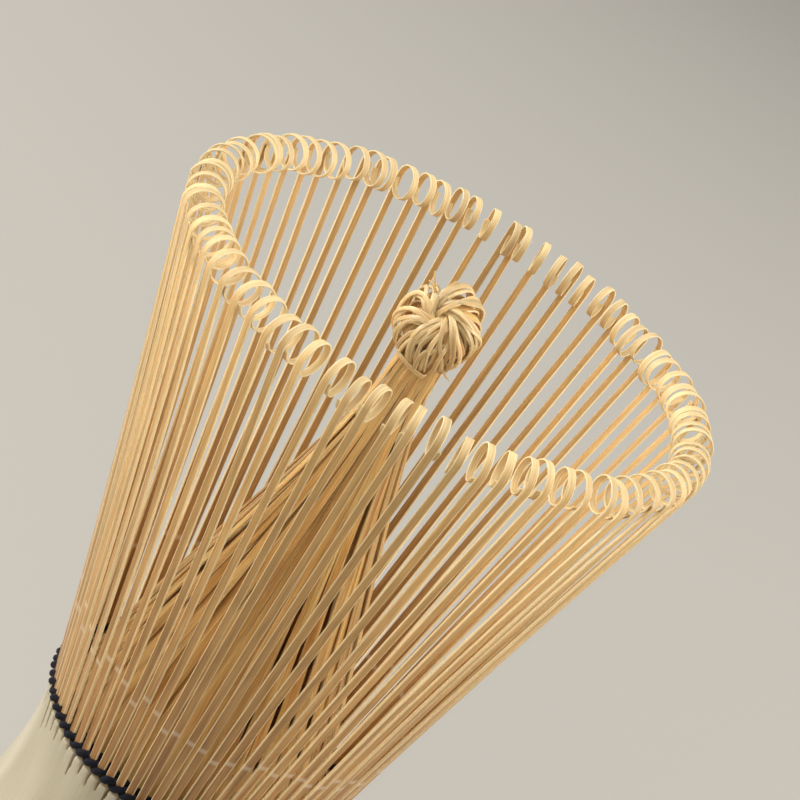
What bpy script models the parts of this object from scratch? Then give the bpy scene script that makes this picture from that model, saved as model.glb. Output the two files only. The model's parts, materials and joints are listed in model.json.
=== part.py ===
# A bamboo tea whisk, standing upright on the cut end of its handle.
# One culm is the handle. Its upper internode is split into sixteen, and every split is shaved into
# five outer tines, which flare and end in a loop, and five inner tines, which lean together
# and curl over each other in a knot. A thread in two strands holds the outer tines apart at their roots.
# Metres, +Z up, origin at the middle of the cut end. Each group of tines turns about its own root.

import math

import bmesh
import bpy
from mathutils import Matrix, Vector

MM = 0.001

# Driving dimensions
SPLITS = 16
TINES_PER_SPLIT = 5
SPLIT_ANGLE = 2 * math.pi / SPLITS
TINE_ANGLE = SPLIT_ANGLE / TINES_PER_SPLIT

HANDLE_RADIUS = 16.2 * MM
HANDLE_TOP = 55.5 * MM
MOUTH_RADIUS = 15.7 * MM
WAIST_RADIUS = 14.95 * MM
WAIST_HEIGHT = 49.5 * MM
WAIST_STEPS = 5
HANDLE_FOOT_RADIUS = 15.9 * MM
HANDLE_CHAMFER = 0.7 * MM
FOOT_BORE_RADIUS = 11.8 * MM
TOP_BORE_RADIUS = 12.6 * MM
NODE_HEIGHT = 34.0 * MM
NODE_RIDGE = 0.55 * MM
NODE_HALF_LENGTH = 3.0 * MM
DIAPHRAGM_THICKNESS = 2.5 * MM

ROOT_BOTTOM = HANDLE_TOP + 0.35 * MM
ROOT_TOP = 57.8 * MM
ROOT_HALF_ANGLE = math.radians(10.3)
HINGE_HEIGHT = 57.1 * MM

OUTER_ROOT_RADIUS = 15.4 * MM
OUTER_TINE_WIDTH = 0.8 * MM
OUTER_TINE_THICKNESS = 0.42 * MM
LOOP_RADIUS = 1.85 * MM
LOOP_CENTRE = Vector((24.9 * MM, 108.15 * MM))
LOOP_TURN = math.radians(285)
LOOP_STEPS = 6

INNER_ROOT_RADIUS = 13.4 * MM
INNER_TINE_SIDE = 0.44 * MM
INNER_BOW = Vector((9.0 * MM, 76.0 * MM))
NECK_JOIN = Vector((3.3 * MM, 96.0 * MM))
NECK_JOIN_SPREAD = 0.16 * MM
KNOT_RADIUS = 4.5 * MM
KNOT_TOP = 110.2 * MM
KNOT_BORE_RADIUS = 2.2 * MM
KNOT_HALF_ANGLE = math.radians(7.2)

THREAD_HEIGHT = 56.5 * MM
THREAD_OUTER_RADIUS = 16.2 * MM
THREAD_INNER_RADIUS = 14.4 * MM
THREAD_HALF_DEPTH = 0.23 * MM
THREAD_HALF_HEIGHT = 0.7 * MM

ROUND_STEPS = 36
SHARP_ANGLE = math.radians(35)
WELD = 0.005 * MM


def clear_scene():
    for thing in list(bpy.data.objects):
        bpy.data.objects.remove(thing, do_unlink=True)


def make_collection(name):
    collection = bpy.data.collections.new(name)
    bpy.context.scene.collection.children.link(collection)
    return collection


def make_material(name, colour, roughness):
    material = bpy.data.materials.new(name)
    material.use_nodes = True
    shader = material.node_tree.nodes["Principled BSDF"]
    shader.inputs["Base Color"].default_value = (*colour, 1.0)
    shader.inputs["Roughness"].default_value = roughness
    shader.inputs["Metallic"].default_value = 0.0
    return material


def shade(mesh, material):
    mesh.materials.clear()
    mesh.materials.append(material)
    mesh.shade_smooth()
    mesh.set_sharp_from_angle(angle=SHARP_ANGLE)


def turned_object(name, outline, material, collection):
    # An outline of (radius, height) points, turned once round the vertical axis
    mesh = bpy.data.meshes.new(name)
    points = [(radius, 0.0, height) for radius, height in outline]
    edges = [(i, i + 1) for i in range(len(points) - 1)]
    mesh.from_pydata(points, edges, [])
    thing = bpy.data.objects.new(name, mesh)
    collection.objects.link(thing)
    screw = thing.modifiers.new("Turn", "SCREW")
    screw.angle = 2 * math.pi
    screw.steps = ROUND_STEPS
    screw.render_steps = ROUND_STEPS
    screw.use_merge_vertices = True
    screw.merge_threshold = WELD
    screw.use_smooth_shade = True
    mesh.materials.append(material)
    return thing


def sector_mesh(name, outline, half_angle, steps):
    # A closed outline of (radius, height) points, swung through an arc centred on +X
    shape = bmesh.new()
    corners = [shape.verts.new((radius, 0.0, height)) for radius, height in outline]
    edges = [shape.edges.new((corners[i - 1], corners[i])) for i in range(len(corners))]
    bmesh.ops.contextual_create(shape, geom=edges)
    bmesh.ops.rotate(shape, verts=shape.verts, cent=(0, 0, 0), matrix=Matrix.Rotation(-half_angle, 3, "Z"))
    swept = list(shape.verts) + list(shape.edges) + list(shape.faces)
    bmesh.ops.spin(shape, geom=swept, cent=(0, 0, 0), axis=(0, 0, 1), angle=2 * half_angle, steps=steps)
    bmesh.ops.remove_doubles(shape, verts=shape.verts, dist=WELD)
    bmesh.ops.recalc_face_normals(shape, faces=shape.faces)
    mesh = bpy.data.meshes.new(name)
    shape.to_mesh(mesh)
    shape.free()
    return mesh


def mesh_from_curve(thing):
    # The evaluated curve as a mesh with its caps welded on; the curve itself is removed
    bpy.context.view_layer.update()
    graph = bpy.context.evaluated_depsgraph_get()
    mesh = bpy.data.meshes.new_from_object(thing.evaluated_get(graph))
    shape = bmesh.new()
    shape.from_mesh(mesh)
    bmesh.ops.remove_doubles(shape, verts=shape.verts, dist=WELD)
    bmesh.ops.recalc_face_normals(shape, faces=shape.faces)
    shape.to_mesh(mesh)
    shape.free()
    mesh.transform(thing.matrix_world)
    bpy.data.objects.remove(thing, do_unlink=True)
    return mesh


def poly_spline(curve, points, closed):
    spline = curve.splines.new("POLY")
    spline.points.add(len(points) - 1)
    for place, point in zip(spline.points, points):
        place.co = (*point, 1.0)
    spline.use_cyclic_u = closed


def plate_mesh(name, outline, width, collection):
    # A flat outline of (radius, height) points, made a plate of the given width across +X
    curve = bpy.data.curves.new(name, "CURVE")
    curve.dimensions = "2D"
    curve.fill_mode = "BOTH"
    curve.extrude = width / 2
    poly_spline(curve, [(radius, height, 0.0) for radius, height in outline], True)
    thing = bpy.data.objects.new(name, curve)
    thing.rotation_euler.x = math.pi / 2
    collection.objects.link(thing)
    return mesh_from_curve(thing)


def rod_mesh(name, points, side, collection):
    # A thin square rod through the points
    curve = bpy.data.curves.new(name, "CURVE")
    curve.dimensions = "3D"
    curve.fill_mode = "FULL"
    curve.bevel_depth = side / math.sqrt(2)
    curve.bevel_resolution = 0
    curve.use_fill_caps = True
    poly_spline(curve, points, False)
    thing = bpy.data.objects.new(name, curve)
    collection.objects.link(thing)
    return mesh_from_curve(thing)


def union_mesh(name, base, additions, collection):
    # One closed body out of the base mesh and the meshes that run into it
    thing = bpy.data.objects.new(name, base)
    collection.objects.link(thing)
    helpers = []
    for number, addition in enumerate(additions):
        helper = bpy.data.objects.new(f"{name}_join_{number}", addition)
        helper.hide_render = True
        helper.display_type = "WIRE"
        collection.objects.link(helper)
        helpers.append(helper)
        join = thing.modifiers.new(f"Join {number}", "BOOLEAN")
        join.operation = "UNION"
        join.solver = "EXACT"
        join.object = helper
    bpy.context.view_layer.update()
    graph = bpy.context.evaluated_depsgraph_get()
    mesh = bpy.data.meshes.new_from_object(thing.evaluated_get(graph))
    mesh.name = name
    for spent in [thing, *helpers]:
        bpy.data.objects.remove(spent, do_unlink=True)
    return mesh


def ribbon_outline(path, thickness):
    # The edge of a ribbon seen from the side: out along one face and back along the other
    left = []
    right = []
    for i, point in enumerate(path):
        before = path[max(i - 1, 0)]
        after = path[min(i + 1, len(path) - 1)]
        along = (after - before).normalized()
        across = Vector((-along.y, along.x)) * thickness / 2
        left.append(point + across)
        right.append(point - across)
    return left + right[::-1]


def outer_tine_path():
    # Up from the root, out along the flare, and once round the loop at the tip
    reach = LOOP_RADIUS - OUTER_TINE_THICKNESS / 2
    shoulder = Vector((OUTER_ROOT_RADIUS, ROOT_TOP))
    to_centre = LOOP_CENTRE - shoulder
    lean = math.atan2(to_centre.x, to_centre.y) + math.asin(reach / to_centre.length)
    path = [Vector((OUTER_ROOT_RADIUS, ROOT_BOTTOM + 0.3 * MM)), shoulder]
    for step in range(LOOP_STEPS + 1):
        turn = -lean + LOOP_TURN * step / LOOP_STEPS
        path.append(LOOP_CENTRE + reach * Vector((math.cos(turn), math.sin(turn))))
    return path


def root_mesh(name, radius, thickness):
    inside = radius - thickness / 2
    outside = radius + thickness / 2
    outline = [(inside, ROOT_BOTTOM), (outside, ROOT_BOTTOM), (outside, ROOT_TOP), (inside, ROOT_TOP)]
    return sector_mesh(name, outline, ROOT_HALF_ANGLE, 4)


def tine_turns():
    middle = (TINES_PER_SPLIT - 1) / 2
    return [(number - middle) * TINE_ANGLE for number in range(TINES_PER_SPLIT)]


def outer_group_mesh(collection):
    # Five flared tines that share one root
    outline = ribbon_outline(outer_tine_path(), OUTER_TINE_THICKNESS)
    plates = []
    for turn in tine_turns():
        plate = plate_mesh("outer_tine", outline, OUTER_TINE_WIDTH, collection)
        plate.transform(Matrix.Rotation(turn, 4, "Z"))
        plates.append(plate)
    root = root_mesh("outer_root", OUTER_ROOT_RADIUS, OUTER_TINE_THICKNESS + 0.08 * MM)
    return union_mesh("outer_tines", root, plates, collection)


def knot_outline():
    # One sixteenth of the knot and its neck, seen from the side
    low = NECK_JOIN.y - 1.5 * MM
    crown = Vector(((KNOT_BORE_RADIUS + KNOT_RADIUS) / 2, KNOT_TOP))
    crown_half = (KNOT_RADIUS - KNOT_BORE_RADIUS) / 2
    crown_drop = 1.6 * MM
    outline = [(3.1 * MM, low), (3.9 * MM, low), (2.85 * MM, 102.3 * MM), (4.1 * MM, 103.4 * MM)]
    outline.append((KNOT_RADIUS, 106.2 * MM))
    for step in range(5):
        turn = math.pi * step / 4
        radius = crown.x + crown_half * math.cos(turn)
        outline.append((radius, KNOT_TOP - crown_drop * (1 - math.sin(turn))))
    outline.append((KNOT_BORE_RADIUS, 102.0 * MM))
    return outline


def inner_group_mesh(collection):
    # Five tines that lean in from one root to their share of the knot
    rods = []
    middle = (TINES_PER_SPLIT - 1) / 2
    for number, turn in enumerate(tine_turns()):
        foot = Vector((math.cos(turn), math.sin(turn)))
        bow_turn = turn * 0.97
        bow = Vector((math.cos(bow_turn), math.sin(bow_turn))) * INNER_BOW.x
        points = [
            (*(foot * INNER_ROOT_RADIUS), ROOT_BOTTOM + 0.4 * MM),
            (*(foot * INNER_ROOT_RADIUS), ROOT_TOP),
            (*bow, INNER_BOW.y),
            (NECK_JOIN.x, (number - middle) * NECK_JOIN_SPREAD, NECK_JOIN.y),
        ]
        rods.append(rod_mesh("inner_tine", points, INNER_TINE_SIDE, collection))
    root = root_mesh("inner_root", INNER_ROOT_RADIUS, INNER_TINE_SIDE + 0.1 * MM)
    knot = sector_mesh("knot_share", knot_outline(), KNOT_HALF_ANGLE, 2)
    return union_mesh("inner_tines", root, [*rods, knot], collection)


def place_groups(name, mesh, hinge_radius, collection):
    # Sixteen copies, each with its origin on its own hinge axis
    mesh.transform(Matrix.Translation((-hinge_radius, 0.0, -HINGE_HEIGHT)))
    for number in range(SPLITS):
        turn = number * SPLIT_ANGLE
        thing = bpy.data.objects.new(f"{name}_{number + 1:02d}", mesh)
        thing.location = (hinge_radius * math.cos(turn), hinge_radius * math.sin(turn), HINGE_HEIGHT)
        thing.rotation_euler.z = turn
        collection.objects.link(thing)


def waist_outline():
    # The outside between the mouth and the node: two parabolas that meet at the waist
    shoulder_height = NODE_HEIGHT + 1.5 * NODE_HALF_LENGTH
    outline = []
    for step in range(WAIST_STEPS):
        share = 1 - step / WAIST_STEPS
        radius = WAIST_RADIUS + (MOUTH_RADIUS - WAIST_RADIUS) * share ** 2
        outline.append((radius, WAIST_HEIGHT + (HANDLE_TOP - WAIST_HEIGHT) * share))
    for step in range(WAIST_STEPS + 1):
        share = step / WAIST_STEPS
        radius = WAIST_RADIUS + (HANDLE_RADIUS - WAIST_RADIUS) * share ** 2
        outline.append((radius, WAIST_HEIGHT - (WAIST_HEIGHT - shoulder_height) * share))
    return outline


def handle_outline():
    # From the middle of the diaphragm's top out to the mouth, down the outside and up the foot's hollow
    floor = NODE_HEIGHT - DIAPHRAGM_THICKNESS / 2
    roof = NODE_HEIGHT + DIAPHRAGM_THICKNESS / 2
    outline = [
        (0.0, roof),
        (TOP_BORE_RADIUS - 1.2 * MM, roof + 0.3 * MM),
        (TOP_BORE_RADIUS, roof + 1.8 * MM),
        (TOP_BORE_RADIUS, HANDLE_TOP),
        *waist_outline(),
        (HANDLE_RADIUS - 0.1 * MM, NODE_HEIGHT + NODE_HALF_LENGTH),
        (HANDLE_RADIUS + NODE_RIDGE, NODE_HEIGHT + 0.25 * NODE_HALF_LENGTH),
        (HANDLE_RADIUS + NODE_RIDGE, NODE_HEIGHT - 0.25 * NODE_HALF_LENGTH),
        (HANDLE_RADIUS - 0.1 * MM, NODE_HEIGHT - NODE_HALF_LENGTH),
        (HANDLE_FOOT_RADIUS, HANDLE_CHAMFER),
        (HANDLE_FOOT_RADIUS - HANDLE_CHAMFER, 0.0),
        (FOOT_BORE_RADIUS + HANDLE_CHAMFER, 0.0),
        (FOOT_BORE_RADIUS, HANDLE_CHAMFER),
        (FOOT_BORE_RADIUS, floor - 1.8 * MM),
        (FOOT_BORE_RADIUS - 1.2 * MM, floor - 0.3 * MM),
        (0.0, floor),
    ]
    return outline


def thread_strand(name, radius, material, collection):
    bpy.ops.mesh.primitive_torus_add(
        major_segments=ROUND_STEPS, minor_segments=6, major_radius=radius, minor_radius=THREAD_HALF_DEPTH
    )
    thing = bpy.context.active_object
    thing.name = name
    thing.data.transform(Matrix.Diagonal((1.0, 1.0, THREAD_HALF_HEIGHT / THREAD_HALF_DEPTH, 1.0)))
    thing.location.z = THREAD_HEIGHT
    for owner in list(thing.users_collection):
        owner.objects.unlink(thing)
    collection.objects.link(thing)
    shade(thing.data, material)


def build():
    clear_scene()
    parts = make_collection("tea_whisk")
    helpers = make_collection("helpers")
    skin = make_material("bamboo_skin", (0.72, 0.66, 0.46), 0.35)
    straw = make_material("bamboo_outer_tines", (0.65, 0.46, 0.22), 0.5)
    amber = make_material("bamboo_inner_tines", (0.60, 0.39, 0.16), 0.45)
    indigo = make_material("dark_thread", (0.008, 0.009, 0.02), 0.8)
    turned_object("handle", handle_outline(), skin, parts)
    outer = outer_group_mesh(helpers)
    shade(outer, straw)
    place_groups("outer_tines", outer, OUTER_ROOT_RADIUS, parts)
    inner = inner_group_mesh(helpers)
    shade(inner, amber)
    place_groups("inner_tines", inner, INNER_ROOT_RADIUS, parts)
    thread_strand("thread_outer_strand", THREAD_OUTER_RADIUS, indigo, parts)
    thread_strand("thread_inner_strand", THREAD_INNER_RADIUS, indigo, parts)


build()
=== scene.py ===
import json
import math
import random

import bmesh
import bpy
import numpy as np
from mathutils import Matrix, Vector


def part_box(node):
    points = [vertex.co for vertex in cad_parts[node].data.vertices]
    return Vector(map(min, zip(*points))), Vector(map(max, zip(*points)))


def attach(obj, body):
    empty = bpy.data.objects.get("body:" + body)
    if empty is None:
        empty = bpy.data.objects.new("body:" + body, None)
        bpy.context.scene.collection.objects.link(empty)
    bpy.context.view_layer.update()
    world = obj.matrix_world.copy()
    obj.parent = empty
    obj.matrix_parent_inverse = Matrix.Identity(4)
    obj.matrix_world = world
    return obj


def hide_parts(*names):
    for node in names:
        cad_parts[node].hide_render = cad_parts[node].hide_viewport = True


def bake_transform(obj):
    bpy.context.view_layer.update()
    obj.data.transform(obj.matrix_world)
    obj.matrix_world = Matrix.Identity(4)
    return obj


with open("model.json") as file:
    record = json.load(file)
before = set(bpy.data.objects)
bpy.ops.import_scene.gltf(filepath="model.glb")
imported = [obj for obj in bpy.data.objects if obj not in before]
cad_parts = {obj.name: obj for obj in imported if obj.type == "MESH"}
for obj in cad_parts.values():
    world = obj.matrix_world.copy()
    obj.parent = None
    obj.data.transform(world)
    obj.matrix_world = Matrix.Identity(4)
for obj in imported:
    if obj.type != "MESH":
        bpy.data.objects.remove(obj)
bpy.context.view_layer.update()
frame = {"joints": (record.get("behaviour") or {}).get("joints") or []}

mm = 0.001
splits = 16
tinesPerSplit = 5
tineAngle = 2 * math.pi / (splits * tinesPerSplit)

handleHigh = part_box("handle")[1]
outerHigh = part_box("outer_tines_01")[1]           # the split on +X: its reach along X is the rim's radius
strandLow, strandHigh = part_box("thread_outer_strand")
hinges = {joint["child"]: joint["pos_m"] for joint in frame["joints"]}

handleTop = handleHigh[2]
rimRadius = outerHigh[0]
rimTop = outerHigh[2]
threadHeight = (strandLow[2] + strandHigh[2]) / 2
outerRootRadius = hinges["outer_split_01"][0]
innerRootRadius = hinges["inner_split_01"][0]


def deselectAll():
    if bpy.context.object and bpy.context.object.mode != "OBJECT":
        bpy.ops.object.mode_set(mode="OBJECT")
    bpy.ops.object.select_all(action="DESELECT")


def hexColour(text):
    # sRGB hex to linear
    channels = [int(text[i:i + 2], 16) / 255 for i in (1, 3, 5)]
    linear = [c / 12.92 if c <= 0.04045 else ((c + 0.055) / 1.055) ** 2.4 for c in channels]
    return (*linear, 1.0)


def newMaterial(name):
    material = bpy.data.materials.new(name)
    material.use_nodes = True
    return material, material.node_tree, material.node_tree.nodes["Principled BSDF"]


def addNode(tree, kind, settings=None, links=None):
    # one node with its settings, and what feeds each of its inputs; stops are a ramp's places and colours
    node = tree.nodes.new(kind)
    for key, value in (settings or {}).items():
        if key == "stops":
            elements = node.color_ramp.elements
            while len(elements) < len(value):
                elements.new(0.5)
            for element, (place, colour) in zip(elements, value):
                element.position = place
                element.color = hexColour(colour)
        elif isinstance(key, int) or key in node.inputs:
            node.inputs[key].default_value = value
        else:
            setattr(node, key, value)
    for key, source in (links or {}).items():
        tree.links.new(source, node.inputs[key])
    return node


# ribbons: a straight strip is modelled once, then each tine's own copy is laid along its own line

def selectEdges(mesh, test):
    # edges picked by place, in edit mode
    bm = bmesh.from_edit_mesh(mesh)
    bm.select_mode = {"EDGE"}
    for edge in bm.edges:
        edge.select = test(edge.verts[0].co, edge.verts[1].co)
    bm.select_flush_mode()
    bmesh.update_edit_mesh(mesh)


def makeStrip(name, look):
    # a straight bamboo strip standing on the origin: X its thickness, Y its width, Z its length
    deselectAll()
    bpy.ops.mesh.primitive_cube_add(size=1, location=(0, 0, 0.5))
    strip = bpy.context.object
    strip.name = name
    strip.scale = (look["thickness"], look["width"], look["length"])
    strip.location.z = look["length"] / 2
    bpy.ops.object.transform_apply(location=True, rotation=False, scale=True)
    bpy.ops.object.mode_set(mode="EDIT")
    bpy.ops.mesh.select_mode(type="EDGE")

    def longEdge(a, b, side):
        return abs(a.z - b.z) > look["length"] / 2 and a.x * side > 0

    selectEdges(strip.data, lambda a, b: longEdge(a, b, -1))
    bpy.ops.mesh.bevel(offset=look["innerRound"], segments=look["innerSteps"], affect="EDGES")
    selectEdges(strip.data, lambda a, b: longEdge(a, b, 1))
    bpy.ops.mesh.bevel(offset=look["outerRound"], segments=1, affect="EDGES")
    for place in look["cuts"]:
        bpy.ops.mesh.select_all(action="SELECT")
        bpy.ops.mesh.bisect(plane_co=(0, 0, place), plane_no=(0, 0, 1))
    bpy.ops.mesh.select_all(action="SELECT")
    bpy.ops.mesh.normals_make_consistent(inside=False)
    bpy.ops.object.mode_set(mode="OBJECT")
    strip.data.shade_smooth()
    strip.data.set_sharp_from_angle(angle=math.radians(32))
    deselectAll()
    strip.hide_render = True
    return strip


def readPoints(mesh):
    places = np.empty(len(mesh.vertices) * 3)
    mesh.vertices.foreach_get("co", places)
    return places.reshape(-1, 3)


def smooth(t):
    t = np.clip(t, 0, 1)
    return t * t * (3 - 2 * t)


def setGrain(mesh, straight, shift, tone, pale):
    # UV across and along in millimetres, moved on by a shift of its own, and four values for the finish
    uv = mesh.uv_layers.new(name="grain")
    corner = np.empty(len(mesh.loops), dtype=np.int32)
    mesh.loops.foreach_get("vertex_index", corner)
    across = straight[corner, 1] / mm + shift[0]
    along = straight[corner, 2] / mm + shift[1]
    uv.data.foreach_set("uv", np.stack([across, along], 1).ravel().astype(np.float32))
    for label, values in (
        ("tone", np.full(len(straight), tone)),
        ("along", straight[:, 2] / mm),
        ("side", straight[:, 1] / abs(straight[:, 1]).max()),
        ("pale", pale),
    ):
        attribute = mesh.attributes.new(label, "FLOAT", "POINT")
        attribute.data.foreach_set("value", values.astype(np.float32))


def unit(vectors):
    return vectors / np.maximum(np.linalg.norm(vectors, axis=-1, keepdims=True), 1e-12)


def layStrip(strip, line, facing, roll, widths, thicknesses, pale, shift, tone):
    # a copy of the straight strip whose length follows the line; facing is where its flat face looks
    mesh = strip.data.copy()
    straight = readPoints(strip.data)
    share = straight[:, 2] / straight[:, 2].max()
    steps = np.linalg.norm(np.diff(line, axis=0), axis=1)
    distance = np.concatenate([[0], np.cumsum(steps)])
    distance /= distance[-1]

    def along(values):
        values = np.asarray(values, float)
        if values.ndim == 1:
            return np.interp(share, distance, values)
        return np.stack([np.interp(share, distance, values[:, i]) for i in range(3)], 1)

    forward = unit(along(np.gradient(line, axis=0)))
    outward = along(facing)
    outward = unit(outward - (outward * forward).sum(1, keepdims=True) * forward)
    sideways = np.cross(forward, outward)
    turn = along(roll)[:, None]
    outward, sideways = (
        outward * np.cos(turn) + sideways * np.sin(turn),
        sideways * np.cos(turn) - outward * np.sin(turn),
    )
    placed = along(line)
    placed = placed + outward * (straight[:, 0] * along(thicknesses))[:, None]
    placed = placed + sideways * (straight[:, 1] * along(widths))[:, None]
    mesh.vertices.foreach_set("co", placed.ravel().astype(np.float32))
    setGrain(mesh, straight, shift, tone, along(pale))
    mesh.update()
    return mesh


splinterLook = {
    "width": 0.055 * mm,
    "thickness": 0.04 * mm,
    "length": 1.0 * mm,
    "innerRound": 0.012 * mm,
    "innerSteps": 1,
    "outerRound": 0.012 * mm,
    "cuts": [0.25 * mm, 0.5 * mm, 0.75 * mm],
}


def laySplinter(strip, dice, line, facing, index, halfWidth):
    # a torn fibre that lifts off one edge of a tine
    forward = unit(line[index + 1] - line[index - 1])
    outward = unit(facing[index] - forward * (facing[index] @ forward))
    edge = dice.choice((-1, 1)) * np.cross(forward, outward)
    length = dice.uniform(0.35, 1.1) * mm
    t = np.linspace(0, 1, 12)[:, None]
    heading = dice.choice((-1, 1)) * forward
    path = line[index] + edge * halfWidth * 0.9 + heading * length * t
    path = path + (edge * dice.uniform(0.15, 0.6) + outward * dice.uniform(-0.3, 0.5)) * length * t ** 2
    taper = 1 - 0.75 * t[:, 0]
    flat = np.tile(outward, (12, 1))
    return layStrip(strip, path, flat, np.zeros(12), taper, taper, np.ones(12), (0, 0), dice.random())


def joinMeshes(name, meshes, material):
    # the strips of one split as one piece
    deselectAll()
    pieces = []
    for mesh in meshes:
        piece = bpy.data.objects.new(name, mesh)
        bpy.context.collection.objects.link(piece)
        piece.select_set(True)
        pieces.append(piece)
    bpy.context.view_layer.objects.active = pieces[0]
    bpy.ops.object.join()
    piece = bpy.context.object
    piece.name = name
    piece.data.name = name
    piece.data.materials.clear()
    piece.data.materials.append(material)
    deselectAll()
    return piece


def turnAbout(points, angle):
    c, s = math.cos(angle), math.sin(angle)
    x, y, z = points[..., 0], points[..., 1], points[..., 2]
    return np.stack([c * x - s * y, s * x + c * y, z], -1)


# camera: a 100 mm lens close to the rim, held over to one side, so the whisk leans across the frame

view = {
    "from": (0.0, -185.9 * mm, 183.8 * mm),
    "at": (-0.16 * mm, 0.0, 98.0 * mm),
    "lean": math.radians(31.58),
    "lens": 101.57,
    "sensor": 36,
    "nearest": 5 * mm,
}


def placeCamera():
    place = Vector(view["from"])
    back = (place - Vector(view["at"])).normalized()
    right = Vector((0, 0, 1)).cross(back).normalized()
    up = back.cross(right)
    c, s = math.cos(view["lean"]), math.sin(view["lean"])
    tilted = Matrix((c * right + s * up, c * up - s * right, back)).transposed()
    data = bpy.data.cameras.new("whiskCamera")
    data.lens = view["lens"]
    data.sensor_width = view["sensor"]
    data.clip_start = view["nearest"]
    camera = bpy.data.objects.new("whiskCamera", data)
    camera.matrix_world = Matrix.Translation(place) @ tilted.to_4x4()
    bpy.context.collection.objects.link(camera)
    bpy.context.scene.camera = camera


placeCamera()
print("camera placed")


# finishes: a pattern's scale is what a millimetre across the grain and along it counts for

bambooGrain = {
    "fibres": (8.0, 0.22, 1.0),     # pore bundles about 0.12 mm wide that run on for several millimetres
    "bands": (1.6, 0.07, 1.0),      # broader streaks from one fibre bundle to the next
    "darkest": 0.66,                # the pores darken the flesh, and between them it is lighter
    "lightest": 1.12,
    # colour of the cut edges: partly the paler cut flesh, partly a painted highlight
    "cutEdgeHighlight": "#F0DDB2",
    "scrape": "#EADFC8",
    "tickWander": 2.4,              # millimetres from the lowest tick to the highest
    "tickShare": 0.32,
    "thinGlow": 0.12,
    "thinMatt": 0.2,
}
outerFinish = {
    "light": "#C4975C",
    "middle": "#A97943",
    "dark": "#87592B",
    "thin": "#EFC77E",
    "tip": "#ECD19B",
    "paleShare": 0.94,
    "toneSpread": 0.26,
    # how strongly, and from how far across the strip, the cut edges take their painted highlight
    "edge": 0.8,
    "edgeHighlightFrom": 0.80,
    "tick": 11.0,
    "rough": 0.42,
    "bump": 0.6,
    "glow": 0.12,
}
innerFinish = {
    "light": "#EFC983",
    "middle": "#D9AA64",
    "dark": "#B98445",
    "thin": "#E6C58A",
    "tip": "#EBD1A0",
    "paleShare": 0.65,
    "toneSpread": 0.34,
    # how strongly, and from how far across the strip, the cut edges take their painted highlight
    "edge": 0.5,
    "edgeHighlightFrom": 0.90,
    "tick": 400.0,                  # off the end of the strip, so none shows
    "rough": 0.20,
    "bump": 0.3,
    "glow": 0.22,
}


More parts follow.
